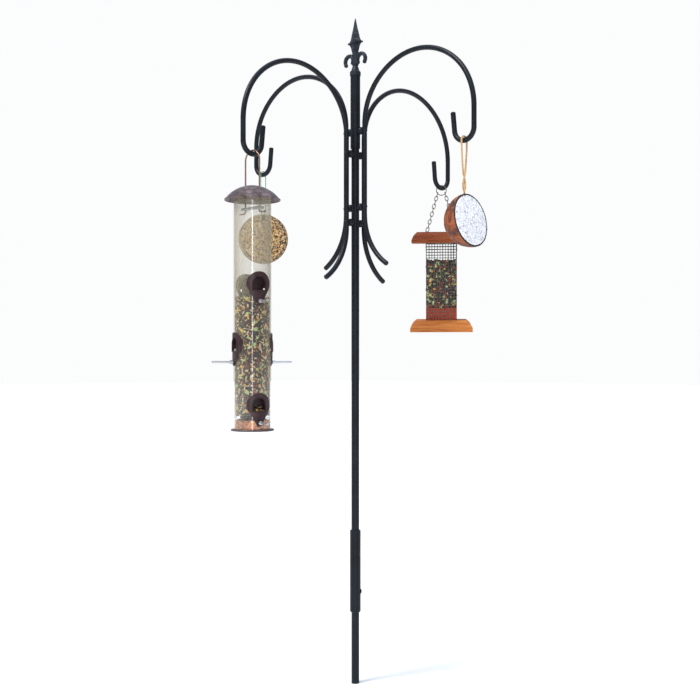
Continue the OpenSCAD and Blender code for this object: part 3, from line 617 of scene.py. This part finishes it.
def tube_seeds():
    """Mixed seed against the tube's wall, over its top, and behind the lower ports' mouths."""
    heap = Heap(FEEDER_MIX, 7)
    low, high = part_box("tube_seed")
    centre = (low + high) / 2
    top = high.z
    reach = (high.x - low.x) / 2
    ports = []
    for name, yaw in PORT_YAWS.items():
        port_low, port_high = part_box(name)
        ports.append((math.radians(yaw), (port_low.z + port_high.z) / 2))
    core_mesh = frame["nodes"]["tube_seed"].data
    core = []
    for vertex in core_mesh.vertices:
        out = Vector((vertex.co.x - centre.x, vertex.co.y - centre.y, 0))
        if out.length > reach - 0.6 * MM:
            out *= (reach - 1.9 * MM) / out.length
        core.append(Vector((centre.x + out.x, centre.y + out.y,
                            min(vertex.co.z, top - 2 * MM))))
    heap.core(core, [tuple(p.vertices) for p in core_mesh.polygons])

    def in_port(angle, z):
        for yaw, middle in ports:
            away = math.atan2(math.sin(angle - yaw), math.cos(angle - yaw))
            if abs(away) * reach < 17 * MM and -7 * MM < z - middle < 28 * MM:
                return True
        return False

    for _ in range(5200):
        angle = heap.random.uniform(0, 2 * math.pi)
        z = heap.random.uniform(low.z + 1 * MM, top)
        if in_port(angle, z):
            continue
        out = Vector((math.cos(angle), math.sin(angle), 0))
        depth = heap.random.uniform(1.2, 2.4) * MM
        heap.seed(centre.xy.to_3d() + out * (reach - depth) + Vector((0, 0, z)), out, 0.16)
    for _ in range(620):
        angle = heap.random.uniform(0, 2 * math.pi)
        r = (reach - 4 * MM) * math.sqrt(heap.random.random())
        x, y = r * math.cos(angle), r * math.sin(angle)
        rise = 3.0 * MM * noise.noise(Vector((x, y, 0)) * 60)
        heap.seed((centre.x + x, centre.y + y, top - 2.5 * MM + rise), (0, 0, 1), 0.5)
    for yaw, middle in ports[2:]:
        out = Vector((math.cos(yaw), math.sin(yaw), 0))
        across = Vector((-math.sin(yaw), math.cos(yaw), 0))
        for _ in range(90):
            back = heap.random.uniform(19.5, 28)
            rise = 4 - (back - 19.5) * 0.7 + heap.random.uniform(-1.2, 1.2)
            heap.seed(centre.xy.to_3d() + out * back * MM
                      + across * heap.random.uniform(-9.5, 9.5) * MM
                      + Vector((0, 0, middle + rise * MM)), out + Vector((0, 0, 0.8)), 0.4)
    heap.make("tube_seeds", "tube_feeder", ["tube_seed"])


tube_seeds()


# ---- seed cake ----

CAKE_YAW = math.radians(-42)
GRAINS_PER_FACE = 1500
GRAINS_ON_RIM = 1700


def seed_cake():
    """A pressed disc: grains lie over a crumbly core on both faces and round the rim."""
    heap = Heap(CAKE_MIX, 11)
    low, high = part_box("seed_cake")
    centre = (low + high) / 2
    place = Matrix.Translation(centre) @ Matrix.Rotation(CAKE_YAW, 4, "Z")
    radius = (high.z - low.z) / 2
    half = 15 * MM
    edge = 11 * MM
    profile = [(0.0, half)]
    profile += [(radius * t, half) for t in (0.25, 0.5, 0.75)]
    profile += [(radius - edge + edge * math.sin(a), half - edge + edge * math.cos(a))
                for a in (math.radians(d) for d in range(0, 91, 15))]
    profile += [(radius, 0.0)]
    profile += [(r, -x) for r, x in reversed(profile[:-1])]
    sides = 96
    inset = 0.8 * MM
    points, faces = [], []
    for r, x in profile:
        for k in range(sides):
            a = 2 * math.pi * k / sides
            wobble = 0.5 * MM * noise.noise(Vector((r * math.cos(a), r * math.sin(a), x)) * 300)
            rr = max(r - inset + wobble, 0.0)
            points.append(place @ Vector((x * (1 - inset / half) + wobble,
                                          rr * math.cos(a), rr * math.sin(a))))
    for i in range(len(profile) - 1):
        for k in range(sides):
            faces.append((i * sides + k, (i + 1) * sides + k,
                          (i + 1) * sides + (k + 1) % sides, i * sides + (k + 1) % sides))
    heap.core(points, faces)
    hole = Vector((0, 0, 44.5 * MM))
    hole_clear = 5.5 * MM
    face_reach = radius - edge * 0.7
    face_depth = half - 0.9 * MM
    rim_reach = radius - 1.9 * MM
    rim_depth = half - 1.5 * MM
    lean = 0.3
    for side in (-1, 1):
        for _ in range(GRAINS_PER_FACE):
            angle = heap.random.uniform(0, 2 * math.pi)
            r = face_reach * math.sqrt(heap.random.random())
            spot = Vector((side * face_depth, r * math.cos(angle), r * math.sin(angle)))
            if (spot - hole).yz.length < hole_clear:
                continue
            heap.seed(place @ spot, place.to_3x3() @ Vector((side, 0, 0)), lean)
    for _ in range(GRAINS_ON_RIM):
        angle = heap.random.uniform(0, 2 * math.pi)
        around = heap.random.uniform(-1, 1)
        x = around * rim_depth
        r = rim_reach
        if abs(x) > half - edge:
            over = (abs(x) - (half - edge)) / edge
            r -= edge * (1 - math.sqrt(max(0, 1 - over * over)))
        out = Vector((0.6 * around ** 3, math.cos(angle), math.sin(angle)))
        heap.seed(place @ Vector((x, r * math.cos(angle), r * math.sin(angle))),
                  place.to_3x3() @ out, lean)
    heap.make("seed_cake_grains", "cake", ["seed_cake"])


seed_cake()

STRING_ROUTE = [(3, 0, -103), (7, -9, -100), (11, -14, -95), (10, -14, -86), (6, -12, -72),
                (3, -9.5, -54), (1, -8, -34), (0, -7.2, -16), (0, -6.9, -4), (0, -6.4, 3.6),
                (0, -2.4, 6.6), (0, 2.4, 6.6), (0, 6.4, 3.6), (0, 6.9, -4), (0, 7.2, -16),
                (-1, 8, -34), (-3, 9.5, -54), (-6, 12, -72), (-10, 14, -86), (-11, 14, -95),
                (-7, 9, -100), (-3, 0, -103)]
rope("cake_string_laid", STRING_ROUTE, Vector(JOINTS["seed_cake_swing"]["pos_m"]), 2.4, 2, 7,
     "cake", ["cake_string"], STRING)


# ---- coconut ----

COCO_YAW = math.radians(1)
COCO_TILT = math.radians(9)
COCO_RADIUS = 51.5 * MM
COCO_WALL = 4 * MM
COCO_BACK = COCO_RADIUS * math.sin(COCO_TILT + math.asin(8 * MM / COCO_RADIUS))
COCO_DROP = 102.3 * MM
coco_hook = Vector(JOINTS["coconut_swing"]["pos_m"])
coco_hang = coco_hook - Vector((0, 0, COCO_DROP))
coco_centre = coco_hang + Matrix.Rotation(COCO_YAW, 3, "Z") @ Vector(
    (COCO_BACK, 0, -math.sqrt(COCO_RADIUS ** 2 - COCO_BACK ** 2)))
coco_place = (Matrix.Translation(coco_centre) @ Matrix.Rotation(COCO_YAW, 4, "Z")
              @ Matrix.Rotation(math.pi / 2 - COCO_TILT, 4, "Y"))


def coconut_shell():
    """Half shell: a fibrous, lumpy outside, a dark sawn rim and a thin inner wall."""
    sides, rings = 160, 60
    points, faces, indices = [], [], []
    profile = [(math.radians(180 - 90 * i / rings), 0) for i in range(rings + 1)]
    profile += [(math.radians(90), 1), (math.radians(90), 2)]
    profile += [(math.radians(90 + 90 * i / 12), 2) for i in range(1, 12)]
    for polar, layer in profile:
        for k in range(sides):
            a = 2 * math.pi * k / sides
            way = Vector((math.sin(polar) * math.cos(a), math.sin(polar) * math.sin(a),
                          math.cos(polar)))
            lumps = noise.fractal(way * 3.2, 0.7, 2.1, 4) * 0.9
            ridges = noise.fractal(Vector((way.x * 16, way.y * 16, way.z * 5)), 0.6, 2.2, 5)
            worn = COCO_RADIUS - 0.9 * MM + (0.5 * lumps + 0.55 * ridges) * MM
            worn = min(worn, COCO_RADIUS)
            if layer == 1:
                worn -= 0.8 * MM
            elif layer == 2:
                worn = COCO_RADIUS - COCO_WALL
            rim = 0.5 * MM * noise.noise(way * 9) if polar < math.radians(93) else 0
            points.append(coco_place @ (way * worn + Vector((0, 0, rim))))
    for i in range(len(profile) - 1):
        for k in range(sides):
            faces.append((i * sides + k, i * sides + (k + 1) % sides,
                          (i + 1) * sides + (k + 1) % sides, (i + 1) * sides + k))
            indices.append(1 if i >= rings - 1 else 0)
    mesh = mesh_from("coconut_half", points, faces, indices)
    new_object("coconut_half", mesh, "coconut", ["coconut_shell"], [HUSK, RIM])


def coconut_fill():
    """Suet: slightly domed and pitted, with an uneven edge against the shell."""
    sides, rings = 128, 44
    inner = COCO_RADIUS - COCO_WALL - 0.1 * MM
    points, faces = [], []
    for i in range(rings + 1):
        t = i / rings
        for k in range(sides):
            a = 2 * math.pi * k / sides
            r = inner * t
            flat = Vector((r * math.cos(a), r * math.sin(a), 0))
            pits = noise.fractal(flat * 190, 0.7, 2.1, 4) * 0.9 * MM
            swell = 2.6 * MM * (1 - t ** 2.2) + 0.4 * MM
            points.append(coco_place @ (flat + Vector((0, 0, swell + pits * (1 - t ** 8)))))
    base = (rings + 1) * sides
    for k in range(sides):
        a = 2 * math.pi * k / sides
        points.append(coco_place @ Vector((inner * 0.99 * math.cos(a),
                                           inner * 0.99 * math.sin(a), -6 * MM)))
    for i in range(rings):
        for k in range(sides):
            faces.append((i * sides + k, (i + 1) * sides + k,
                          (i + 1) * sides + (k + 1) % sides, i * sides + (k + 1) % sides))
    for k in range(sides):
        faces.append((rings * sides + k, base + k, base + (k + 1) % sides,
                      rings * sides + (k + 1) % sides))
    faces.append(tuple(base + k for k in range(sides)))
    mesh = mesh_from("coconut_fill", points, faces)
    new_object("coconut_fill", mesh, "coconut", ["coconut_suet"], [SUET])


coconut_shell()
coconut_fill()

TWINE_ROUTE = [(0, -2.1, -112), (0, -2.1, -104), (1.4, -1.6, -97), (2.1, 0, -90),
               (1.4, 1.6, -83), (0, 2.1, -76), (-1.4, 1.6, -69), (-2.1, 0, -62),
               (-1.6, -1.9, -55), (-1, -3.6, -47), (-0.5, -5.2, -37), (-0.2, -6.7, -25),
               (0, -7.8, -12), (0, -7.8, -4), (0, -7.5, 3), (0, -5, 6.4), (0, 0, 7.9),
               (0, 5, 6.4), (0, 7.5, 3), (0, 7.8, -4), (0, 7.8, -12), (0.2, 6.7, -25),
               (0.5, 5.2, -37), (1, 3.6, -47), (1.6, 1.9, -55), (2.1, 0, -62),
               (1.4, -1.6, -69), (0, -2.1, -76), (-1.4, -1.6, -83), (-2.1, 0, -90),
               (-1.4, 1.6, -97), (0, 2.1, -104), (0, 2.1, -112)]
rope("coconut_twine_laid", TWINE_ROUTE, coco_hook, 4, 3, 9, "coconut",
     ["coconut_twine"], TWINE)
paint("twine_knot", TWINE)


# ---- nut feeder ----

paint("nut_roof", ROOF_WOOD)
soften("nut_roof", 2.2, 4, 18)
paint("nut_base", BASE_WOOD)
soften("nut_base", 1.6, 3, 18)
paint("nut_block", BLOCK_WOOD)
soften("nut_block", 0.8, 2)
for node in ("nut_ring", "nut_chain_left", "nut_chain_right"):
    paint(node, CHAIN)
for node in ("nut_tabs", "nut_screws"):
    paint(node, ZINC)


def cage_place():
    """The cage's own frame, with its origin at the cage's middle."""
    up = Vector(JOINTS["nut_roof_lift"]["axis"]).normalized()
    back = Vector(JOINTS["nut_feeder_swing"]["axis"])
    right = back.cross(Vector((0, 0, 1))).normalized()
    low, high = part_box("nut_cage")
    turn = Matrix((right, up.cross(right), up)).transposed().to_4x4()
    return Matrix.Translation((low + high) / 2) @ turn


CAGE = cage_place()
CAGE_WIDTH = 68 * MM
CAGE_HEIGHT = 170 * MM


def cage_wires():
    """Welded mesh: upright wires on all four sides, crossed by square hoops."""
    wire = 0.62 * MM
    half = CAGE_WIDTH / 2 - wire
    cells = 11
    rows = 28
    points, faces = [], []
    rng = random.Random(5)
    for side in range(4):
        turn = Matrix.Rotation(side * math.pi / 2, 4, "Z")
        for i in range(cells):
            across = -half + 2 * half * i / cells
            jitter = rng.uniform(-0.25, 0.25) * MM if i else 0
            line = []
            for k in range(13):
                z = (k / 12 - 0.5) * (CAGE_HEIGHT - 2 * wire)
                sway = 0.3 * MM * noise.noise(Vector((across * 90, z * 40, side * 7)))
                line.append(CAGE @ turn @ Vector((across + jitter + (sway if i else 0),
                                                  -half, z)))
            swept(line, wire, 6, points, faces)
    for row in range(rows):
        z = (row / (rows - 1) - 0.5) * (CAGE_HEIGHT - 4 * wire)
        hoop = []
        for side in range(4):
            turn = Matrix.Rotation(side * math.pi / 2, 4, "Z")
            for k in range(12):
                across = -half + 2 * half * (k + 0.5) / 12
                sag = 0.3 * MM * noise.noise(Vector((across * 70, z * 90, side * 3)))
                hoop.append(CAGE @ turn @ Vector((across, -half + wire * 1.5, z + sag)))
        swept(hoop, wire, 6, points, faces, closed=True)
    mesh = mesh_from("cage_wires", points, faces)
    new_object("cage_wires", mesh, "nut_feeder", ["nut_cage"], [MESH])


def cage_fill():
    """Nuts and seed packed against the mesh, heaped at the top."""
    heap = Heap(NUT_MIX, 23)
    half = CAGE_WIDTH / 2 - 3.6 * MM
    bottom = -CAGE_HEIGHT / 2 + 28.4 * MM
    top = -CAGE_HEIGHT / 2 + 132 * MM
    corners = [(-half, -half), (half, -half), (half, half), (-half, half)]
    core = [CAGE @ Vector((x, y, z)) for z in (bottom, top - 5 * MM) for x, y in corners]
    heap.core(core, [(3, 2, 1, 0), (4, 5, 6, 7), (0, 1, 5, 4), (1, 2, 6, 5), (2, 3, 7, 6),
                     (3, 0, 4, 7)])
    for side in range(4):
        turn = CAGE @ Matrix.Rotation(side * math.pi / 2, 4, "Z")
        out = turn.to_3x3() @ Vector((0, -1, 0))
        for _ in range(820):
            x = heap.random.uniform(-half, half)
            z = heap.random.uniform(bottom + 2 * MM, top - 1 * MM)
            depth = heap.random.uniform(-1.4, 0.6) * MM
            heap.seed(turn @ Vector((x, -half + depth, z)), out, 0.25)
    for _ in range(420):
        x = heap.random.uniform(-half, half)
        y = heap.random.uniform(-half, half)
        rise = 5 * MM * noise.noise(Vector((x, y, 0)) * 45)
        heap.seed(CAGE @ Vector((x, y, top - 5 * MM + rise)),
                  CAGE.to_3x3() @ Vector((0, 0, 1)), 0.5)
    heap.make("cage_nuts", "nut_feeder", ["nut_seed"])


cage_wires()
cage_fill()


# ---- floor and light ----

def studio():
    """A plain pale floor, a sky that is brightest overhead, a soft sun and a tall strip light."""
    reach = 30
    mesh = mesh_from("floor", [(-reach, -reach, 0), (reach, -reach, 0), (reach, reach, 0),
                               (-reach, reach, 0)], [(0, 1, 2, 3)])
    floor = bpy.data.objects.new("floor", mesh)
    bpy.context.scene.collection.objects.link(floor)
    pale = Surface("pale_floor", roughness=0.9)
    pale.colour(pale.ramp(pale.noise(0.4), [(0.2, (0.86, 0.86, 0.86)), (0.8, (0.9, 0.9, 0.9))]))
    mesh.materials.append(pale.material)

    world = bpy.data.worlds.new("sky")
    world.use_nodes = True
    bpy.context.scene.world = world
    nodes, links = world.node_tree.nodes, world.node_tree.links
    sky = nodes["Background"]
    direction = nodes.new("ShaderNodeTexCoord").outputs["Generated"]
    split = nodes.new("ShaderNodeSeparateXYZ")
    links.new(direction, split.inputs[0])
    ramp = nodes.new("ShaderNodeValToRGB")
    for element, (position, grey) in zip(ramp.color_ramp.elements, ((0.5, 0.24), (0.95, 1.35))):
        element.position = position
        element.color = (grey * 0.86, grey * 0.94, grey * 1.08, 1)
    height = nodes.new("ShaderNodeMapRange")
    height.inputs["From Min"].default_value = -1
    links.new(split.outputs["Z"], height.inputs["Value"])
    links.new(height.outputs["Result"], ramp.inputs["Fac"])
    links.new(ramp.outputs["Color"], sky.inputs["Color"])
    sky.inputs["Strength"].default_value = 0.85
    plain = nodes.new("ShaderNodeBackground")
    plain.inputs["Color"].default_value = (0.97, 0.975, 0.98, 1)
    seen = nodes.new("ShaderNodeLightPath")
    either = nodes.new("ShaderNodeMixShader")
    links.new(seen.outputs["Is Camera Ray"], either.inputs["Fac"])
    links.new(sky.outputs[0], either.inputs[1])
    links.new(plain.outputs[0], either.inputs[2])
    links.new(either.outputs[0], nodes["World Output"].inputs["Surface"])

    sun = bpy.data.lights.new("sun", "SUN")
    sun.energy = 2.6
    sun.angle = math.radians(18)
    sun.color = (1.0, 0.985, 0.96)
    lamp = bpy.data.objects.new("sun", sun)
    lamp.rotation_euler = Vector((-0.1, -0.75, 1.0)).to_track_quat("Z", "Y").to_euler()
    bpy.context.scene.collection.objects.link(lamp)

    strip = bpy.data.lights.new("strip", "AREA")
    strip.shape = "RECTANGLE"
    strip.size = 0.06
    strip.size_y = 2.0
    strip.energy = 14
    lamp = bpy.data.objects.new("strip", strip)
    low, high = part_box("clear_tube")
    middle = (low + high) / 2
    aside = math.radians(46.5)
    lamp.location = middle + 3.0 * Vector((math.sin(aside), -math.cos(aside), 0))
    lamp.rotation_euler = (middle - lamp.location).to_track_quat("-Z", "Y").to_euler()
    bpy.context.scene.collection.objects.link(lamp)


studio()
